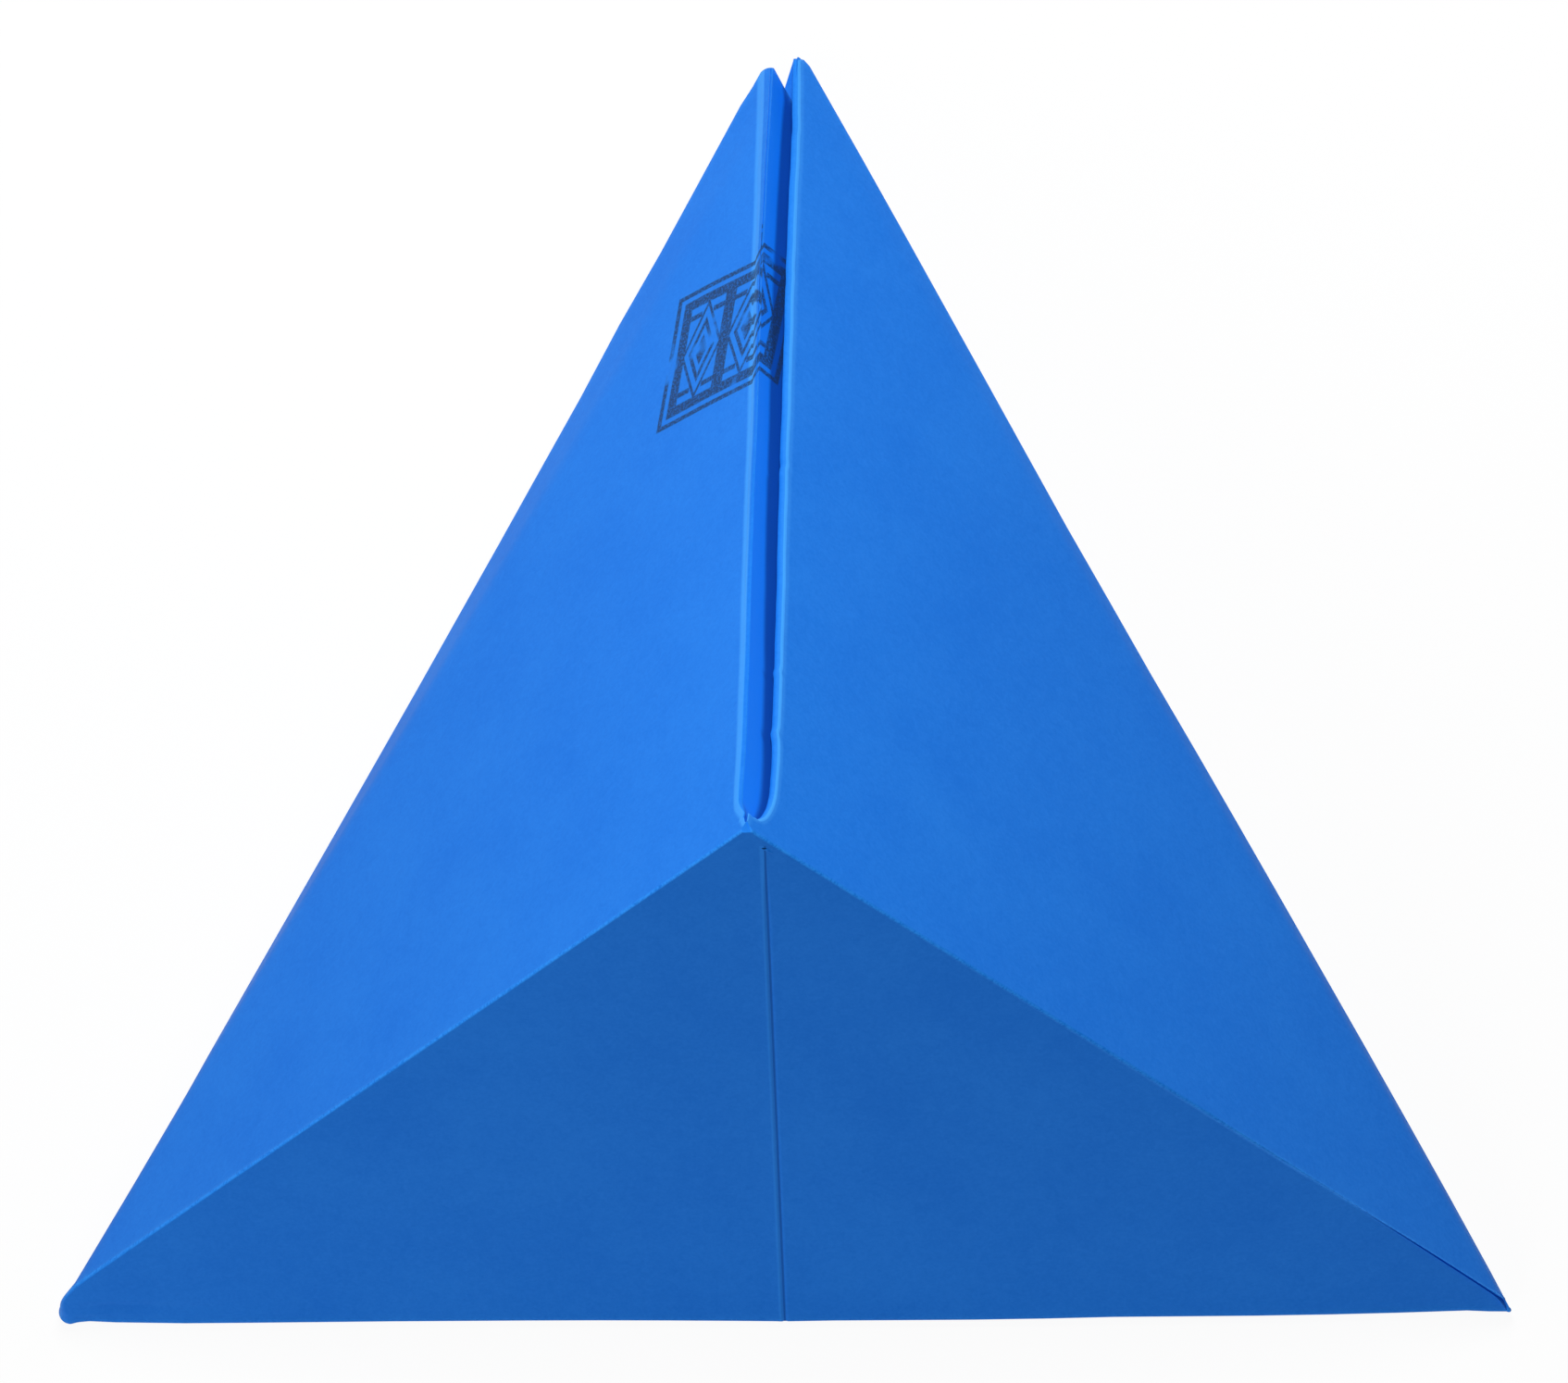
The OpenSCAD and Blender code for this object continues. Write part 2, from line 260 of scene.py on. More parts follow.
def setback(share):
    # how far the slit's right edge lies back from the ideal ridge
    straight = mix(card["slitApexSetback"], card["slitBaseSetback"], share)
    opened = opening("rightRound", share)
    shift = card["edgeShift"] * min(1, 1.15 * opened)
    start, run = card["tipFrom"]
    tip = card["tipBlunt"] * tipRound(share) - card["tipReach"] * ease((share - start) / run)
    return (straight + slitWobble(share)) * opened + shift + tip


def depth(wall, side, share, corner):
    # how far a face of the card lies behind the pyramid's outer plane
    skin = 0 if side > 0 else cutT
    deep = pleatDepth(share)
    inward = {
        pleatFront: (2 * slitEdgeR(share) if corner == slitEdge else deep) - skin,
        pleatBack: deep + cutGap + skin,
    }.get(wall, 0)
    return fade(share) * inward + (skin if wall <= rightWall else 0)


def foldShare(row):
    return clamp01((row - wallRows) / card["foldRows"])


def rowSpread(first):
    # rows lie closer at the round end of the slit and at the burrs of its edge
    shares = np.linspace(first, cornerShare, 4000)
    density = 1 + 5 * np.exp(-(shares / 0.06) ** 2)
    for centre, height, width in card["burrs"]:
        density += 4 * np.exp(-((shares - centre) / (1.4 * width)) ** 2)
    total = np.concatenate([[0], np.cumsum((density[1:] + density[:-1]) / 2)])
    return np.interp(np.linspace(0, total[-1], card["upperRows"] + 1), total, shares)


spread = {first: rowSpread(first) for first in (card["topShare"], roofShare)}


def rowShare(row, first):
    upper = card["upperRows"]
    if row <= upper:
        return float(spread[first][row])
    return mix(cornerShare, 1, (row - upper) / card["cornerRows"])


@lru_cache(maxsize=None)
def wallCut(wall, side, row, corner=None):
    # how a wall's face lies at a row: facing, distance from the axis, height, share of the slant,
    # and the distance before the base fold
    first = card["topShare"] if side > 0 else roofShare
    r = foldR(wall, side)
    top, end = apexH * (1 - first), foldZ(wall) + r * math.cos(incline)
    z = mix(top, end, (rowShare(min(row, wallRows), first) - first) / (1 - first))
    share = 1 - z / apexH
    facing, away = wallLine(wall, share)
    d = away - depth(wall, side, share, corner)
    if row <= wallRows:
        return facing, d, z, share, d
    turn = mix(math.pi / 2 - incline, -math.pi / 2, foldShare(row))
    d2 = d + r * (math.cos(turn) - math.sin(incline))
    return facing, d2, foldZ(wall) + r * math.sin(turn), share, d


def ridgeR(corner, share):
    if corner == slitRidge:
        r = card["slitRidgeR"] * clamp01(opening("leftRound", share) + 0.1)
    else:
        r = mix(card["ridgeR"], card["nubR"][corner - 1], ease((share - cornerShare) / (1 - cornerShare)))
    return min(r, 0.6 * inR * share)


def turnAfter(a, b):
    # the angle b, taken as a turn to the left from a
    return b + 2 * math.pi * math.ceil((a - b) / (2 * math.pi) - 1e-9)


@lru_cache(maxsize=None)
def creaseStrip(side, row):
    # what shows of the pleat's back, from the crease beside the left wall to a bend under the
    # slit's edge: its line as in wallCut, and the bend
    facing, d, z, share, straight = wallCut(pleatBack, side, row)
    away = wallLine(rightWall, share)[1]
    deep = depth(pleatBack, 1, share, None)
    leftFacing = wallLine(leftWall, share)[0]
    more, centre, width = card["creaseDeeper"]
    full = deep / math.sin(leftFacing - facing) + more * bump(share, centre, width)
    corner = cornerS * share + full * opening("leftRound", share) * direction(leftFacing + math.pi / 2)
    along = direction(facing - math.pi / 2)
    reach = float(np.dot(cornerS * share, along))
    reach += max(setback(share) + slitEdgeR(share), deep * card["bendReach"] + 0.2)
    bend = (away - deep) * direction(facing) + reach * along
    run = (corner - bend) / np.linalg.norm(corner - bend)
    out = np.array([run[1], -run[0]])
    edge = float(np.dot(corner, out)) - (0 if side > 0 else cutT)
    line = (math.atan2(out[1], out[0]), edge + d - straight, z, share, edge)
    return line, np.array([*(d * direction(facing) + reach * along), z])


def ridgePoint(corner, f, side, row):
    first = creaseStrip(side, row)[0] if corner == slitRidge else wallCut(corner - 1, side, row)
    fa, da, za, sa, starta = first
    fb, db, zb, sb, startb = wallCut(corner, side, row)
    r = max(0.05, ridgeR(corner, (sa + sb) / 2) - (0 if side > 0 else cutT) + (da - starta))
    centre = meet(fa, da - r, fb, db - r)
    p = centre + r * direction(mix(fa, turnAfter(fa, fb), f))
    return np.array([p[0], p[1], mix(za, zb, f)])


def rollPoint(corner, f, side, row):
    fa, da, za, sa, starta = wallCut(corner - 1, side, row, corner)
    fb, db, zb, sb, startb = wallCut(corner, side, row, corner)
    share = (sa + sb) / 2
    edge = setback(share)
    edgeCentre = edge + edgeR * fade(share)
    valleyCentre = max(edgeCentre + 0.05, edge + share * baseLine / 2 - cutGap / 2 - cutT)
    turn = math.pi * f
    bulge = (db - da) / 2 if corner == slitEdge else cutGap / 2 + (0 if side > 0 else cutT)
    along = (edgeCentre if corner == slitEdge else valleyCentre) + bulge * math.sin(turn)
    across = mix(da, db, (1 - math.cos(turn)) / 2)
    away = direction(fa - math.pi / 2)
    foot = float(np.dot(cornerS * share, away))
    p = across * direction(fa) + (foot + along) * away
    return np.array([p[0], p[1], mix(za, zb, (1 - math.cos(turn)) / 2 if corner == valley else f)])


def foldPoint(corner, f, side, row):
    return (ridgePoint if corner <= rightRidge else rollPoint)(corner, f, side, row)


def wallParts(steps, near):
    # parts of a wall's width, closer together beside its folds
    inner = [near, near * 3]
    middle = [mix(near * 7, 1 - near * 7, i / steps) for i in range(steps + 1)]
    return inner + middle + [1 - near * 3, 1 - near]


# Columns of the sheet: ("fold", corner, part of its turn), ("wall", wall, part of its width),
# ("seam", wall, place across the old crease) or ("strip", wall, part of its width)
columns = []
for corner in range(5):
    columns += [("fold", corner, i / card["foldSteps"]) for i in range(card["foldSteps"] + 1)]
    if corner == lowerWall:
        parts = wallParts(card["wallSteps"] + 3, 0.004)
        columns += [("wall", corner, f) for f in parts if f < 0.5]
        columns += [("seam", corner, k) for k in card["creaseSteps"]]
        columns += [("wall", corner, f) for f in parts if f > 0.5]
    elif corner <= rightRidge:
        columns += [("wall", corner, f) for f in wallParts(card["wallSteps"], 0.004)]
    else:
        columns += [("wall", corner, f) for f in wallParts(card["pleatSteps"], 0.006)]
    if corner == pleatBack:
        columns += [("strip", corner, f) for f in card["stripSteps"]]
columnCount = len(columns)


def seamPlace(share):
    # x of the old crease
    return min(mix(card["creaseApexX"], card["creaseBaseX"], share), baseLine / 2 * share * 0.8)


def rowPoints(side, row):
    ends = {}
    for corner in range(5):
        ends[corner] = (foldPoint(corner, 0, side, row), foldPoint(corner, 1, side, row))
    share = wallCut(lowerWall, side, row)[3]
    bend = creaseStrip(side, row)[1]
    out = []
    for kind, k, f in columns:
        if kind == "fold":
            out.append(foldPoint(k, f, side, row))
            continue
        a, b = ends[k][1], ends[(k + 1) % 5][0]
        if k == pleatBack:
            a, b = (bend, b) if kind == "strip" else (a, bend)
        if k == lowerWall:
            width = min(card["creaseWidth"], inR * share * 0.05)
            middle = min(seamPlace(share), b[0] - 5 * width)
            if kind == "seam":
                f = (middle + f * width - a[0]) / (b[0] - a[0])
            else:
                left = (middle - 4 * width - a[0]) / (b[0] - a[0])
                right = (middle + 4 * width - a[0]) / (b[0] - a[0])
                f = 2 * f * left if f < 0.5 else mix(right, 1, 2 * f - 1)
        out.append(mix(a, b, f))
    return np.array(out)


def flapEnd(base, side):
    # where each column of a flap would end, and which columns have a flap
    out, has = base.copy(), np.zeros(columnCount, bool)
    for wall in range(5):
        own = [i for i, c in enumerate(columns) if c[0] != "fold" and c[1] == wall]
        first, last = (own[0] - 1) % columnCount, (own[-1] + 1) % columnCount
        group = [first] + own + [last]
        facing = wallLine(wall, 1)[0]
        along = direction(facing + math.pi / 2)
        a, b = base[first], base[last]
        length = abs(float(np.dot((b - a)[:2], along)))
        reach = (length - card["flapTipWidth"]) / (2 if wall <= rightWall else 1)
        for i in group:
            f = abs(float(np.dot((base[i] - a)[:2], along))) / length
            slide = {pleatFront: f - 1, pleatBack: -f}.get(wall, 1 - 2 * f)
            move = reach * (slide * along - direction(facing))
            out[i, :2] = base[i, :2] + move
            has[i] = True
    own = [i for i, c in enumerate(columns) if c[0] == "fold" and c[1] == valley]
    facing = wallLine(pleatFront, 1)[0]
    for i in own:
        out[i, :2] = base[i, :2] - reach * direction(facing)
        has[i] = True
    return out, has


def bowAt(name, f):
    xs, ys = zip(*bows[name])
    return float(np.interp(f, xs, ys))


def sheetGrid(side):
    rows = [rowPoints(side, row) for row in range(foldEndRow + 1)]
    end, has = flapEnd(rows[-1], side)
    for k in range(1, card["flapRows"] + 1):
        rows.append(mix(rows[foldEndRow], end, k / card["flapRows"]))
    return np.array(rows), has


outer, flapColumns = sheetGrid(1)
inner, _ = sheetGrid(-1)
print("sheet folded:", outer.shape)


def bowWeights(kind, k, part):
    # how much a column follows the bows of the left, lower and right wall and the pleat
    if kind != "fold":
        return [float(min(k, pleatFront) == wall) for wall in range(4)]
    return {
        slitRidge: (part, 0, 0, 1 - part),
        leftRidge: (1 - part, part, 0, 0),
        rightRidge: (0, 1 - part, part, 0),
        slitEdge: (0, 0, 1 - part, part),
        valley: (0, 0, 0, 1),
    }[k]


def bowMoves():
    # handmade unevenness, the same for both faces of the card so that it keeps its thickness
    out = np.zeros_like(outer)
    weights = [bowWeights(*column) for column in columns]
    corners = (cornerS, cornerP, cornerQ, cornerS)
    size, turns = card["unevenness"]
    firstRow = wallRows - card["dentRows"]
    for wall, name in enumerate(("left", "lower", "right", "pleat")):
        a, b = corners[min(wall, 2)], corners[min(wall, 2) + 1]
        along = (b - a) / np.linalg.norm(b - a)
        facing = direction(math.atan2(-along[0], along[1]))
        for row, i in np.ndindex(outer.shape[:2]):
            weight = weights[i][wall]
            if weight == 0:
                continue
            p = outer[row, i]
            share = clamp01(1 - p[2] / apexH)
            place = float(np.dot(p[:2], along)) / max(share, 0.02)
            f = clamp01((place - np.dot(a, along)) / np.dot(b - a, along))
            lift = bowAt(name, f) * share ** 4
            if wall == leftWall and row >= firstRow:
                low = ease((row - firstRow) / card["dentRows"])
                lift += low * sum(h * bump(f, c, w) for h, c, w in card["dents"])
            spot = Vector((p[0] * turns + wall * 7, p[1] * turns, p[2] * turns))
            lift += size * noise.noise(spot) * math.sin(math.pi * share) * ease(4 * f * (1 - f))
            out[row, i, :2] += weight * lift * facing
    return out


def cornerMoves(out):
    # the lower left corner spreads out flat below the end of its fold, and the upper tips are squashed
    yStart, yRun, xStart, xRun = card["flareFrom"]
    soft = card["tipSquash"]
    for row, i in np.ndindex(outer.shape[:2]):
        x, y = outer[row, i, :2]
        out[row, i, 0] -= card["flare"] * ease((yStart - y) / yRun) * ease((xStart - x) / xRun)
        over = y + out[row, i, 1] - card["tipTop"]
        if over > 0 and x > -1:
            out[row, i, 1] -= over - soft * math.tanh(over / soft)


def creaseMoves():
    # the old crease: a fine groove with a small lip on its left
    out = np.zeros_like(outer)
    up = np.array([0, -math.sin(incline), math.cos(incline)])
    for i, (kind, k, part) in enumerate(columns):
        if kind != "seam":
            continue
        groove = max(0.0, 1 - (part / 0.8) ** 2)
        lip = bump(part, -1.25, 0.7)
        for row in range(foldEndRow + 1):
            share = clamp01(1 - outer[row, i, 2] / apexH)
            strength = ease((share - card["seamTop"]) * 9) * (1 - foldShare(row))
            out[row, i] = up * strength * (card["creaseLip"] * lip - card["creaseDepth"] * groove)
    return out


moves = bowMoves()
cornerMoves(moves)
moves += creaseMoves()
outer += moves
inner += moves

firstOf = {}
for i, (kind, k, part) in enumerate(columns):
    firstOf.setdefault((kind, k), i)
edgeColumn = firstOf["fold", slitEdge] + card["foldSteps"] // 2


def awayFromCrease(i, row):
    # how far a point behind the slit lies from the crease, in plan
    return float(np.linalg.norm(outer[row, i, :2] - outer[row, 0, :2]))


def heightOnSheet(i, row):
    share = clamp01(1 - outer[min(row, wallRows), i, 2] / apexH)
    return baseLine / 2 * (share if row < foldEndRow else 1 + (row - foldEndRow) / card["flapRows"])


def flatPlace(i, row):
    # the same point on the sheet before it was folded, in mm from its centre
    kind, k, part = columns[i]
    height = heightOnSheet(i, row)
    if kind == "fold":
        if k == valley:
            return height * direction(-math.pi / 4)
        angle = k * math.pi / 2
        arc = awayFromCrease(card["foldSteps"], row) if k == slitRidge else 0
        out, side = direction(angle), direction(angle + math.pi / 2)
        return height * math.sqrt(2) * out + (part - 0.5) * arc * side
    if kind == "seam":
        lateral = 0.008 * part * height
    elif kind == "strip":
        lateral = height - awayFromCrease(i, row)
    elif k == pleatBack:
        lateral = part * (height - awayFromCrease(firstOf["strip", pleatBack], row))
    elif k == pleatFront:
        lateral = (part - 1) * height
    else:
        lateral = (2 * part - 1) * height
    angle = math.pi / 4 + min(k, pleatFront) * math.pi / 2
    return height * direction(angle) + lateral * direction(angle + math.pi / 2)


def linePlace(i, row):
    # distances in mm from the old crease, from the crease along the slit and from the slit's edge; they place
    # the painted highlights and the painted shade along these lines
    kind, k, part = columns[i]
    far = card["far"]
    share = clamp01(1 - outer[min(row, wallRows), i, 2] / apexH)
    width = math.sqrt(2) * heightOnSheet(i, row)
    seam, crease, edge = far, far, far
    if k == lowerWall or (kind == "fold" and k == rightRidge):
        seam = outer[row, i, 0] - seamPlace(share)
        if share < card["seamTop"]:
            seam += math.copysign(far, seam + 0.01)
    if kind == "wall" and k == leftWall:
        crease, seam = part * width, -far
    elif kind == "fold" and k == slitRidge:
        crease, seam = (part - 0.75) * awayFromCrease(card["foldSteps"], row), -far
    elif k == pleatBack:
        crease, seam = -awayFromCrease(i, row), -far
    if k == rightWall and kind == "wall":
        edge = (1 - part) * width
    elif k == slitEdge and kind == "fold":
        edge = -part * math.pi * slitEdgeR(share)
    elif k in (pleatFront, pleatBack):
        edge = -far
    return seam, crease, edge


def slitGlowAndShadow(i, row):
    # 0 to 1 from the crease to the place under the slit's edge: the mask for the painted light behind the
    # slit, which paints the strip there brighter and lays a painted shadow under the slit's edge
    kind, k, part = columns[i]
    if k != pleatBack or kind == "fold":
        return 0.0
    gap = float(np.linalg.norm(outer[row, edgeColumn, :2] - outer[row, 0, :2]))
    return min(2.0, awayFromCrease(i, row) / max(gap, 0.3))


def ridgeWear(i, row):
    # how much of the colour is rubbed off along the side ridges, and how much paler the base folds are, 0 to
    # 1
    kind, k, part = columns[i]
    level, place, width = card["paleBaseFold"]
    base = level * bump(row, wallRows + card["foldRows"] * place, width)
    if kind == "fold" and k in (leftRidge, rightRidge):
        first = firstOf["fold", k]
        arc = np.linalg.norm(outer[row, first + card["foldSteps"], :2] - outer[row, first, :2])
        level = card["wearLevels"][k - leftRidge]
        return max(base, level * bump((part - 0.5) * arc, 0, card["wearWidth"]))
    return base


def buildSheet():
    size = (lastRow + 1) * columnCount
    verts = np.concatenate([outer.reshape(-1, 3), inner.reshape(-1, 3)]) * mm

    def at(skin, row, c):
        return skin * size + row * columnCount + c % columnCount

    faces, cut = [], []
    for row in range(lastRow):
        for c in range(columnCount):
            d = (c + 1) % columnCount
            if row >= foldEndRow and not (flapColumns[c] and flapColumns[d]):
                continue
            inFold = columns[c][0] == "fold" and columns[d][0] == "fold"
            if row >= foldEndRow and inFold and columns[c][1] != valley:
                continue
            faces.append((at(0, row, c), at(0, row + 1, c), at(0, row + 1, d), at(0, row, d))[::-1])
            faces.append((at(1, row, c), at(1, row, d), at(1, row + 1, d), at(1, row + 1, c))[::-1])
            cut += [0, 0]
    # raw edges: around every outer quad edge that only one quad uses
    used = {edge: True for f in faces for edge in zip(f, f[1:] + f[:1])}
    rim = [(a, b) for (a, b) in used if (b, a) not in used and a < size and b < size]
    top = set(range(columnCount))
    for a, b in rim:
        if a in top and b in top:
            continue
        faces.append((b, a, a + size, b + size))
        cut.append(1)
    faces.append(tuple(at(0, 0, c) for c in range(columnCount)))
    faces.append(tuple(at(1, 0, c) for c in range(columnCount - 1, -1, -1)))
    cut += [0, 0]

    keep = sorted({v for f in faces for v in f})
    index = {v: n for n, v in enumerate(keep)}
    mesh = bpy.data.meshes.new("foldedCard")
    mesh.from_pydata([tuple(verts[v]) for v in keep], [], [tuple(index[v] for v in f) for f in faces])
    places, lines, wears, slitGlowsAndShadows = [], [], [], []
    for v in keep:
        row, c = divmod(v % size, columnCount)
        places += [*flatPlace(c, row), 0 if v < size else 1]
        lines += linePlace(c, row)
        wears.append(ridgeWear(c, row) if v < size else 0.0)
        slitGlowsAndShadows.append(slitGlowAndShadow(c, row) if v < size else 0.0)
    for name, kind, domain, field, values in (
        ("flatPlace", "FLOAT_VECTOR", "POINT", "vector", places),
        ("linePlace", "FLOAT_VECTOR", "POINT", "vector", lines),
        ("ridgeWear", "FLOAT", "POINT", "value", wears),
        ("slitGlowAndShadow", "FLOAT", "POINT", "value", slitGlowsAndShadows),
        ("rawEdge", "FLOAT", "FACE", "value", [float(x) for x in cut]),
    ):
        mesh.attributes.new(name, kind, domain).data.foreach_set(field, values)
    mesh.shade_smooth()
    mesh.set_sharp_from_angle(angle=math.radians(38))
    made = bpy.data.objects.new("foldedCard", mesh)
    bpy.context.scene.collection.objects.link(made)
    return made


foldedCard = buildSheet()
print("sheet meshed:", len(foldedCard.data.polygons), "faces")


def addNode(tree, kind, place, **values):
    # a value that isn't an input's name is set on the node itself
    node = tree.nodes.new(kind)
    node.location = place
    for name, value in values.items():
        if name in node.inputs:
            node.inputs[name].default_value = value
        else:
            setattr(node, name, value)
    return node


grain = {
    "fine": {"Scale": 2600.0, "Detail": 3.0, "Roughness": 0.65},
    "fibre": {"Scale": 900.0, "Detail": 4.0, "Roughness": 0.7, "Distortion": 0.8},
    "cloud": {"Scale": 70.0, "Detail": 5.0, "Roughness": 0.6},
}


def cardGrainGroup():
    group = bpy.data.node_groups.new("cardGrain", "ShaderNodeTree")
    face = group.interface
    for name, start in (("Grain Size", 1.0), ("Mottle", 0.5)):
        face.new_socket(name, in_out="INPUT", socket_type="NodeSocketFloat").default_value = start
    for name in ("Tone", "Height"):
        face.new_socket(name, in_out="OUTPUT", socket_type="NodeSocketFloat")
    link = group.links.new
    enter = addNode(group, "NodeGroupInput", (-900, 0))
    leave = addNode(group, "NodeGroupOutput", (200, 0))
    coords = addNode(group, "ShaderNodeTexCoord", (-900, 250))
    scaled = addNode(group, "ShaderNodeVectorMath", (-700, 200), operation="SCALE")
    link(coords.outputs["Object"], scaled.inputs[0])
    link(enter.outputs["Grain Size"], scaled.inputs["Scale"])
    layers = {}
    for n, (name, values) in enumerate(grain.items()):
        layer = addNode(group, "ShaderNodeTexNoise", (-450, 300 - 250 * n), **values)
        link(scaled.outputs[0], layer.inputs["Vector"])
        layers[name] = layer.outputs["Fac"]
    pair = addNode(group, "ShaderNodeMix", (-200, 200), Factor=0.5)
    link(layers["fine"], pair.inputs["A"])
    link(layers["fibre"], pair.inputs["B"])
    tone = addNode(group, "ShaderNodeMix", (0, 100))
    link(enter.outputs["Mottle"], tone.inputs["Factor"])
    link(pair.outputs["Result"], tone.inputs["A"])
    link(layers["cloud"], tone.inputs["B"])
    link(tone.outputs["Result"], leave.inputs["Tone"])
    link(pair.outputs["Result"], leave.inputs["Height"])
    return group


def maths(tree, operation, *values):
    node = tree.nodes.new("ShaderNodeMath")
    node.operation = operation
    for n, value in enumerate(values):
        if isinstance(value, (int, float)):
            node.inputs[n].default_value = value
        else:
            tree.links.new(value, node.inputs[n])
    return node.outputs[0]


def fadeBetween(tree, value, start, end):
    node = addNode(tree, "ShaderNodeMapRange", (0, 0), interpolation_type="SMOOTHSTEP")
    node.inputs["From Min"].default_value = start
    node.inputs["From Max"].default_value = end
    tree.links.new(value, node.inputs["Value"])
    return node.outputs["Result"]


def band(tree, value, middle, half, soft):
    # 1 within half a width of the middle, and fading to 0 over a soft border
    away = maths(tree, "ABSOLUTE", maths(tree, "SUBTRACT", value, middle))
    return maths(tree, "SUBTRACT", 1.0, fadeBetween(tree, away, half, half + soft))


def chain(tree, operation, *values):
    total = values[0]
    for value in values[1:]:
        total = maths(tree, operation, total, value)
    return total


ornament = {
    "centre": (69.6, 4.3),     # mm on the flat sheet
    "half": 8.4,
    "turn": 9.5,               # degrees
    # middle and half width of its lines, as parts of the half side
    "frame": (0.96, 0.025),
    "bars": (0.78, 0.065),
    "spine": (0.0, 0.085),
    "rails": (0.56, 0.03),
    "rings": ((0.1, 0.1), (0.4, 0.045), (0.66, 0.03)),
    "soft": (0.02, 0.03),      # border of the straight lines and of the rings
    "panel": 0.4,              # distance of a panel's middle from the spine
    "diamond": (2.0, 0.95),    # steepness of the rings in each direction
    "gap": 0.1,                # opening in the rails at a panel's middle
    "speckle": {"Scale": 3.4, "Detail": 2.0, "Roughness": 0.8},
    "wear": {"Scale": 0.22, "Detail": 2.0},
    "speckleFrom": (0.36, 0.56),
    "wearFrom": (0.3, 0.44),
    "leastInk": 0.5,
}


def ornamentGroup():
    # a stamped frame with nested diamonds in two panels, worn and speckled
    group = bpy.data.node_groups.new("stampedOrnament", "ShaderNodeTree")
    face = group.interface
    face.new_socket("Place", in_out="INPUT", socket_type="NodeSocketVector")
    face.new_socket("Ink", in_out="OUTPUT", socket_type="NodeSocketFloat")
    link = group.links.new
    enter = addNode(group, "NodeGroupInput", (-900, 0))
    leave = addNode(group, "NodeGroupOutput", (900, 0))
    shift = addNode(group, "ShaderNodeVectorMath", (-700, 0), operation="SUBTRACT")
    shift.inputs[1].default_value = (*ornament["centre"], 0)
    link(enter.outputs["Place"], shift.inputs[0])
    turned = addNode(group, "ShaderNodeVectorRotate", (-500, 0), rotation_type="Z_AXIS")
    turned.inputs["Angle"].default_value = math.radians(ornament["turn"])
    link(shift.outputs[0], turned.inputs["Vector"])
    parts = addNode(group, "ShaderNodeSeparateXYZ", (-300, 0))
    link(turned.outputs[0], parts.inputs[0])

    def sums(operation, *values):
        return maths(group, operation, *values)

    def stripe(value, name):
        return band(group, value, *ornament[name], ornament["soft"][0])

    u, v = (sums("MULTIPLY", parts.outputs[n], 1 / ornament["half"]) for n in (0, 1))
    au, av = sums("ABSOLUTE", u), sums("ABSOLUTE", v)
    square = sums("MAXIMUM", au, av)
    inside = sums("LESS_THAN", square, ornament["bars"][0])
    panel = sums("ABSOLUTE", sums("SUBTRACT", av, ornament["panel"]))
    steepV, steepU = ornament["diamond"]
    diamond = sums("ADD", sums("MULTIPLY", panel, steepV), sums("MULTIPLY", au, steepU))
    rings = [band(group, diamond, *ring, ornament["soft"][1]) for ring in ornament["rings"]]
    rails = sums("MULTIPLY", stripe(au, "rails"), sums("GREATER_THAN", panel, ornament["gap"]))
    lattice = sums("MULTIPLY", chain(group, "MAXIMUM", *rings, rails, stripe(v, "spine")), inside)
    lines = chain(group, "MAXIMUM", stripe(square, "frame"), stripe(square, "bars"), lattice)
    speckle = addNode(group, "ShaderNodeTexNoise", (0, -300), **ornament["speckle"])
    wear = addNode(group, "ShaderNodeTexNoise", (0, -500), **ornament["wear"])
    for node in (speckle, wear):
        link(enter.outputs["Place"], node.inputs["Vector"])
    least = ornament["leastInk"]
    solid = fadeBetween(group, speckle.outputs["Fac"], *ornament["speckleFrom"])
    solid = sums("ADD", sums("MULTIPLY", solid, 1 - least), least)
    patch = fadeBetween(group, wear.outputs["Fac"], *ornament["wearFrom"])
    link(chain(group, "MULTIPLY", lines, solid, patch), leave.inputs["Ink"])
    return group


stock = {
    "blue": (0.003, 0.160, 0.70, 1),
    # pale fibres of the grain and rubbed ridges, and also a painted highlight on the lip beside the old
    # crease
    "paleFibreAndHighlight": (0.03, 0.3, 0.93, 1),
    # painted highlight: along the crease beside the slit and along the slit's right edge
    "lip": (0.07, 0.42, 1.0, 1),
    # painted light: the strip behind the slit is painted a brighter blue
    "deep": (0.002, 0.17, 0.86, 1),
    "shade": (0.001, 0.045, 0.33, 1),
    # painted shade in the groove of the old crease
    "groove": (0.002, 0.1, 0.46, 1),
    "core": (0.04, 0.25, 0.78, 1),
    "ink": (0.008, 0.03, 0.085, 1),
    "roughness": 0.6,
    "specular": 0.1,
    "sheen": 0.01,
    "mottle": 0.35,
    "toneFrom": (0.3, 0.7),
    "fibreRise": 0.00006,
    "relief": 0.35,
    "patches": {"Scale": 420.0, "Detail": 4.0},
    "patchFrom": (0.32, 0.6),
    "shadeFrom": (0.7, 1.0),
}

# Strength of each coat of colour; deep is painted light that brightens the strip behind the slit, and shade
# is the painted shadow under the slit's edge
coats = {"mottle": 0.3, "deep": 0.9, "shade": 0.85, "wear": 0.85, "ink": 0.9}

# Lines on the card, all painted light: painted highlights beside the old crease, along the crease beside the
# slit and along the slit's right edge, and painted shade in the old crease's groove. Each has middle, half
# width and soft border in mm, and strength
marks = {
    "seamHighlight": (-0.32, 0.12, 0.2, 0.35),
    "seamGrooveShade": (0.0, 0.05, 0.1, 0.85),
    # painted highlight along the crease beside the slit
    "creaseLip": (0.12, 0.17, 0.5, 0.45),
    # painted highlights along the slit's right edge: a soft band where the fold rounds over and a thin bright
    # line on the edge
    "softEdgeHighlight": (0.0, 0.25, 0.55, 0.2),
    "sharpEdgeHighlight": (-0.1, 0.14, 0.14, 0.6),
}
creaseHighlightFrom = (-0.12, 0.0)


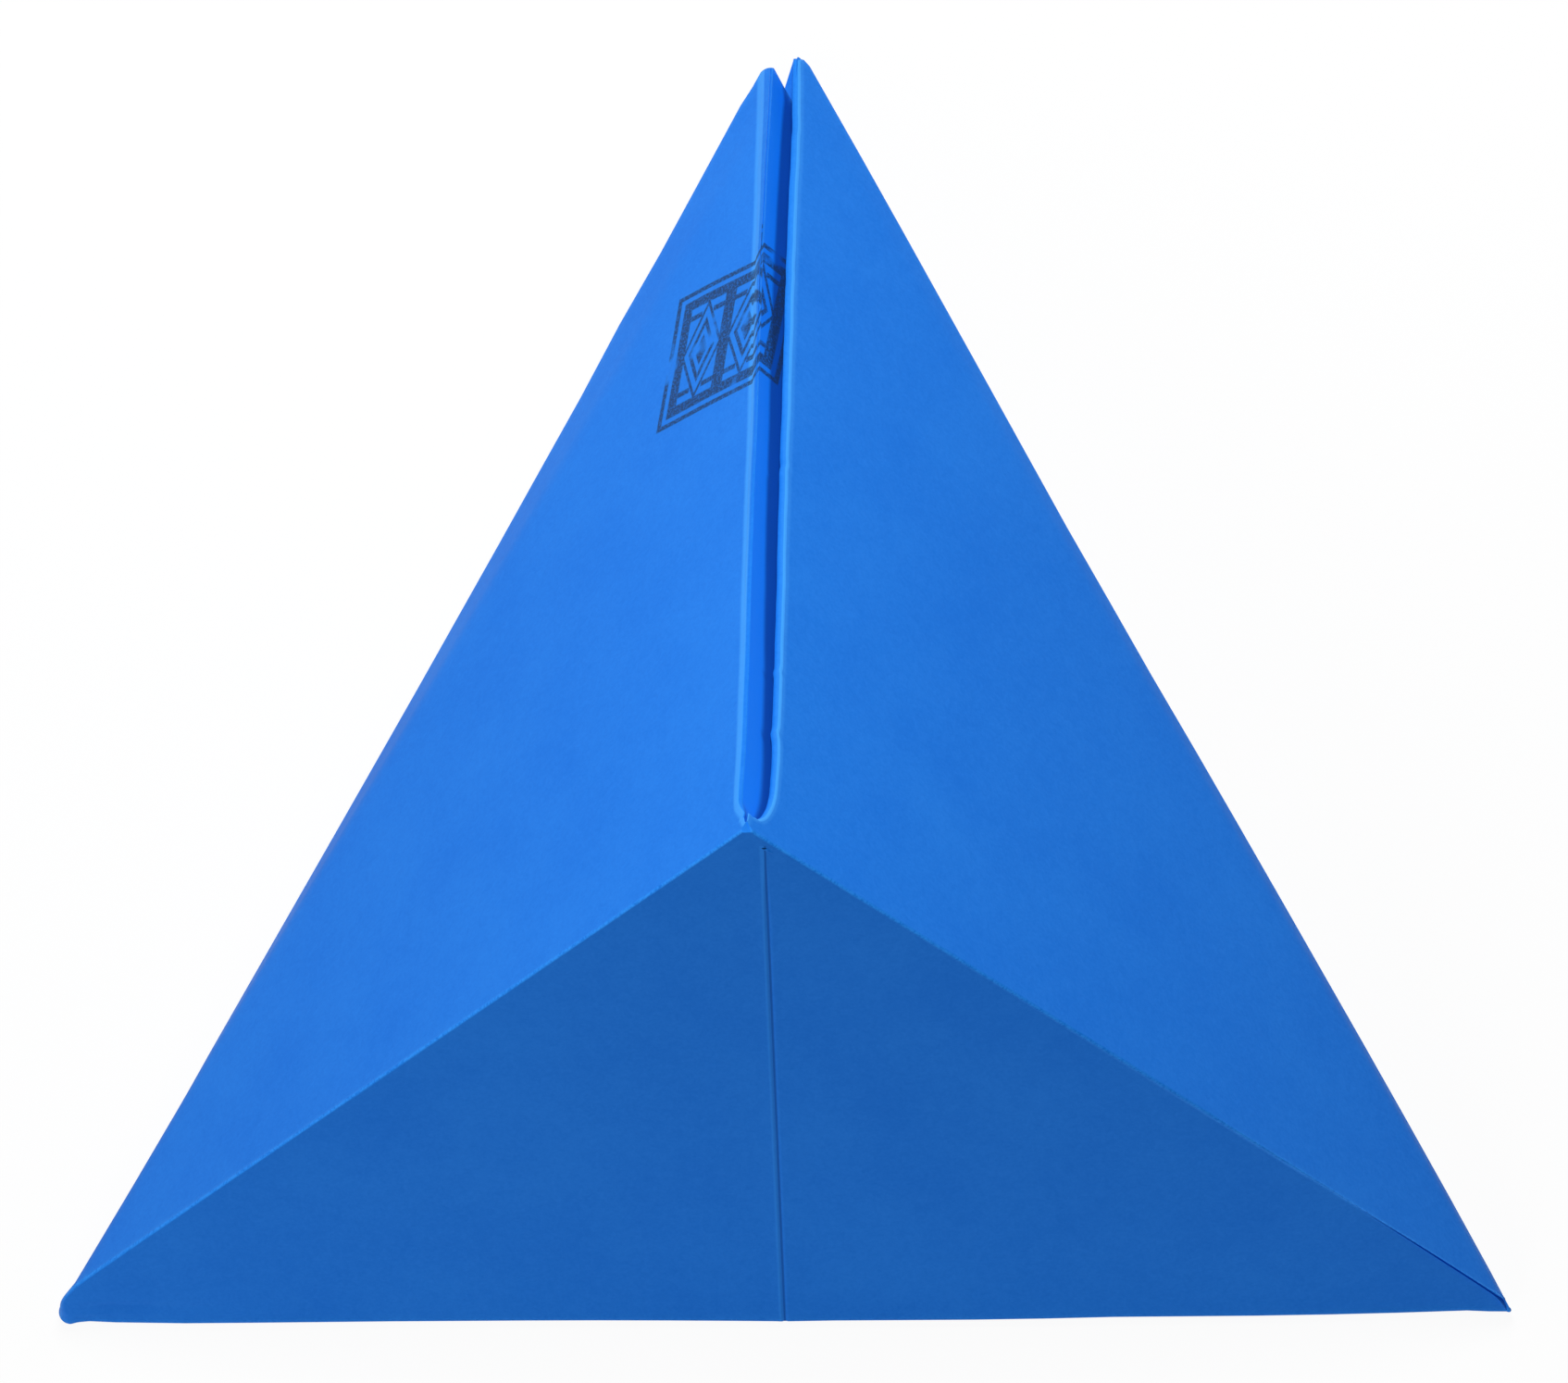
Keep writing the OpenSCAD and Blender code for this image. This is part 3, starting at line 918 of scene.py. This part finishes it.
def cardMaterial(grainGroup, stampGroup):
    material = bpy.data.materials.new("blueCard")
    material.use_nodes = True
    tree = material.node_tree
    tree.nodes.clear()
    link = tree.links.new
    out = addNode(tree, "ShaderNodeOutputMaterial", (900, 0))
    body = addNode(tree, "ShaderNodeBsdfPrincipled", (600, 0), Roughness=stock["roughness"])
    body.inputs["Specular IOR Level"].default_value = stock["specular"]
    body.inputs["Sheen Weight"].default_value = stock["sheen"]
    link(body.outputs[0], out.inputs["Surface"])

    def attribute(name, output="Fac"):
        return addNode(tree, "ShaderNodeAttribute", (-900, 0), attribute_name=name).outputs[output]

    def paint(under, colour, mask):
        coat = addNode(tree, "ShaderNodeMix", (0, 0), data_type="RGBA")
        coat.inputs["B"].default_value = stock[colour]
        link(mask, coat.inputs["Factor"])
        link(under, coat.inputs["A"])
        return coat.outputs["Result"]

    def times(a, b):
        return maths(tree, "MULTIPLY", a, b)

    def mark(value, name):
        *sizes, strength = marks[name]
        return times(band(tree, value, *sizes), strength)

    surface = addNode(tree, "ShaderNodeGroup", (-700, 0), node_tree=grainGroup)
    surface.inputs["Mottle"].default_value = stock["mottle"]
    plain = addNode(tree, "ShaderNodeRGB", (-500, 300))
    plain.outputs[0].default_value = stock["blue"]
    mottle = fadeBetween(tree, surface.outputs["Tone"], *stock["toneFrom"])
    colour = paint(plain.outputs[0], "paleFibreAndHighlight", times(mottle, coats["mottle"]))
    lines = addNode(tree, "ShaderNodeSeparateXYZ", (-700, -200))
    link(attribute("linePlace", "Vector"), lines.inputs[0])
    seam, crease, edge = lines.outputs
    broken = addNode(tree, "ShaderNodeTexNoise", (-700, -500), **stock["patches"])
    patchy = fadeBetween(tree, broken.outputs["Fac"], *stock["patchFrom"])
    # painted light behind the slit: the strip there is painted brighter, then darkened by a painted shadow
    # under the slit's edge
    slitGlowAndShadowMask = attribute("slitGlowAndShadow")
    colour = paint(colour, "deep", times(maths(tree, "GREATER_THAN", slitGlowAndShadowMask, 0.0), coats["deep"]))
    colour = paint(colour, "shade", times(fadeBetween(tree, slitGlowAndShadowMask, *stock["shadeFrom"]), coats["shade"]))
    # rubbed ridges, and a paler line along the base folds
    colour = paint(colour, "paleFibreAndHighlight", times(times(attribute("ridgeWear"), patchy), coats["wear"]))
    # the old crease on the lower wall: a painted highlight on its lip and painted shade in its groove
    colour = paint(colour, "paleFibreAndHighlight", mark(seam, "seamHighlight"))
    colour = paint(colour, "groove", mark(seam, "seamGrooveShade"))
    # painted highlight along the crease where the left wall turns into the slit
    besideCrease = fadeBetween(tree, crease, *creaseHighlightFrom)
    colour = paint(colour, "lip", times(mark(crease, "creaseLip"), besideCrease))
    # painted highlights along the slit's right edge, a soft band and a thin bright line
    edges = maths(tree, "MAXIMUM", mark(edge, "softEdgeHighlight"), mark(edge, "sharpEdgeHighlight"))
    colour = paint(colour, "lip", edges)
    stamp = addNode(tree, "ShaderNodeGroup", (-700, -800), node_tree=stampGroup)
    link(attribute("flatPlace", "Vector"), stamp.inputs["Place"])
    colour = paint(colour, "ink", times(stamp.outputs["Ink"], coats["ink"]))
    colour = paint(colour, "core", attribute("rawEdge"))
    link(colour, body.inputs["Base Color"])
    relief = addNode(
        tree, "ShaderNodeBump", (300, -300), Strength=stock["relief"], Distance=stock["fibreRise"]
    )
    link(surface.outputs["Height"], relief.inputs["Height"])
    link(relief.outputs["Normal"], body.inputs["Normal"])
    return material


foldedCard.data.materials.append(cardMaterial(cardGrainGroup(), ornamentGroup()))
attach(foldedCard, "root")
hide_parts("folded_card")
print("card stock made")

studio = {
    "floorSide": 6.0,
    "floorDrop": -0.00003,     # keeps the floor clear of the underside
    "floorTone": 0.9,
    "cameraWhite": 0.93,       # part of the floor that the camera sees as white, without its shadow
    "worldTone": (0.93, 0.96, 1.0, 1),
    "worldStrength": 0.12,
    # name, place, target, size and power of each lamp
    "lamps": (
        ("topLamp", (0.0, 0.23, 0.33), (0, 0.02, 0.02), 0.16, 1.4),
        ("frontLamp", (-0.26, -0.58, 0.36), (0, 0, 0.02), 0.3, 1.7),
        ("sideLamp", (-0.42, -0.1, 0.3), (0, 0, 0.02), 0.25, 0.3),
    ),
    # the photograph's camera: its own right, up and back, its place in mm and its focal length
    "cameraAxes": ((0.99763, 0.00044, -0.06883), (0.00789, 0.99266, 0.12069), (0.06838, -0.12095, 0.9903)),
    "cameraPlace": (86.007, -132.664, 1253.637),
    "focalPixels": 13612.6,
    "imageWidth": 1694,
    "sensor": 36.0,
    "clip": (0.05, 50),
}


def makeFloor():
    half = studio["floorSide"] / 2
    mesh = bpy.data.meshes.new("floor")
    corners = [(x * half, y * half, 0) for x, y in ((-1, -1), (1, -1), (1, 1), (-1, 1))]
    mesh.from_pydata(corners, [], [(0, 1, 2, 3)])
    floor = bpy.data.objects.new("floor", mesh)
    floor.location.z = studio["floorDrop"]
    bpy.context.scene.collection.objects.link(floor)
    material = bpy.data.materials.new("paleFloor")
    material.use_nodes = True
    tree = material.node_tree
    tree.nodes.clear()
    out = addNode(tree, "ShaderNodeOutputMaterial", (600, 0))
    matte = addNode(tree, "ShaderNodeBsdfDiffuse", (0, 100))
    matte.inputs["Color"].default_value = (studio["floorTone"],) * 3 + (1,)
    white = addNode(tree, "ShaderNodeEmission", (0, -100), Strength=1.0)
    path = addNode(tree, "ShaderNodeLightPath", (-400, 300))
    share = maths(tree, "MULTIPLY", path.outputs["Is Camera Ray"], studio["cameraWhite"])
    blend = addNode(tree, "ShaderNodeMixShader", (300, 0))
    for n, source in enumerate((share, matte.outputs[0], white.outputs[0])):
        tree.links.new(source, blend.inputs[n])
    tree.links.new(blend.outputs[0], out.inputs["Surface"])
    mesh.materials.append(material)


def makeWorld():
    world = bpy.data.worlds.new("softRoom")
    world.use_nodes = True
    tree = world.node_tree
    tree.nodes.clear()
    out = addNode(tree, "ShaderNodeOutputWorld", (600, 0))
    room = addNode(tree, "ShaderNodeBackground", (0, 100), Strength=studio["worldStrength"])
    room.inputs["Color"].default_value = studio["worldTone"]
    white = addNode(tree, "ShaderNodeBackground", (0, -100), Strength=1.0)
    path = addNode(tree, "ShaderNodeLightPath", (-300, 300))
    blend = addNode(tree, "ShaderNodeMixShader", (300, 0))
    for n, source in enumerate((path.outputs["Is Camera Ray"], room.outputs[0], white.outputs[0])):
        tree.links.new(source, blend.inputs[n])
    tree.links.new(blend.outputs[0], out.inputs["Surface"])
    bpy.context.scene.world = world


def makeLamp(name, place, target, size, power):
    lamp = bpy.data.lights.new(name, "AREA")
    lamp.shape = "DISK"
    lamp.size = size
    lamp.energy = power
    made = bpy.data.objects.new(name, lamp)
    made.location = place
    made.rotation_mode = "QUATERNION"
    made.rotation_quaternion = (Vector(target) - Vector(place)).to_track_quat("-Z", "Y")
    bpy.context.scene.collection.objects.link(made)


def makeCamera():
    data = bpy.data.cameras.new("photoCamera")
    data.lens = studio["focalPixels"] / studio["imageWidth"] * studio["sensor"]
    data.sensor_width = studio["sensor"]
    data.clip_start, data.clip_end = studio["clip"]
    camera = bpy.data.objects.new("photoCamera", data)
    turn = Matrix(studio["cameraAxes"]).transposed().to_4x4()
    camera.matrix_world = Matrix.Translation(Vector(studio["cameraPlace"]) * mm) @ turn
    bpy.context.scene.collection.objects.link(camera)
    bpy.context.scene.camera = camera


makeFloor()
makeWorld()
for lamp in studio["lamps"]:
    makeLamp(*lamp)
makeCamera()
bpy.context.scene.view_settings.view_transform = "Standard"
print("studio ready")
